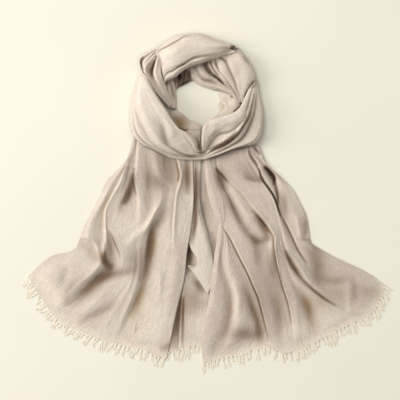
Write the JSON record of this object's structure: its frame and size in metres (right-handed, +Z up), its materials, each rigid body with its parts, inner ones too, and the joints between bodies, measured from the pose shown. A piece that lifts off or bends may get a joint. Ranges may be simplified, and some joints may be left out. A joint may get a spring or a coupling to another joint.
{
  "type": "beach scarf laid flat, wound round a neck opening",
  "caption": "Lightweight fringed beach scarf laid flat, wound once into a gathered neck loop with both tails fanned out below it.",
  "frame": {"origin": "middle of the whole layout on the surface it lies on, fringes included", "axes": "+X from the left tail's tip to the right tail's tip, +Y from the hems to the nape band, +Z up from the surface"},
  "size_m": [0.7339, 0.6739, 0.052],
  "materials": {
    "cloth": "matt open gauze weave with a soft sheen, pinkish beige",
    "fringe": "loose cut yarn ends, pale cream"
  },
  "bodies": {
    "root": {"left_tail": "cloth", "right_tail": "cloth", "middle_upper": "cloth", "middle_lower": "cloth", "left_fringe": "fringe", "middle_fringe": "fringe", "right_fringe": "fringe", "wrap_core": "cloth", "right_wing": "cloth", "front_wing": "cloth", "back_gather": "cloth", "right_gather": "cloth", "shoulder_folds": "cloth", "nape_band": "cloth", "front_wrap": "cloth"}
  },
  "joints": []
}
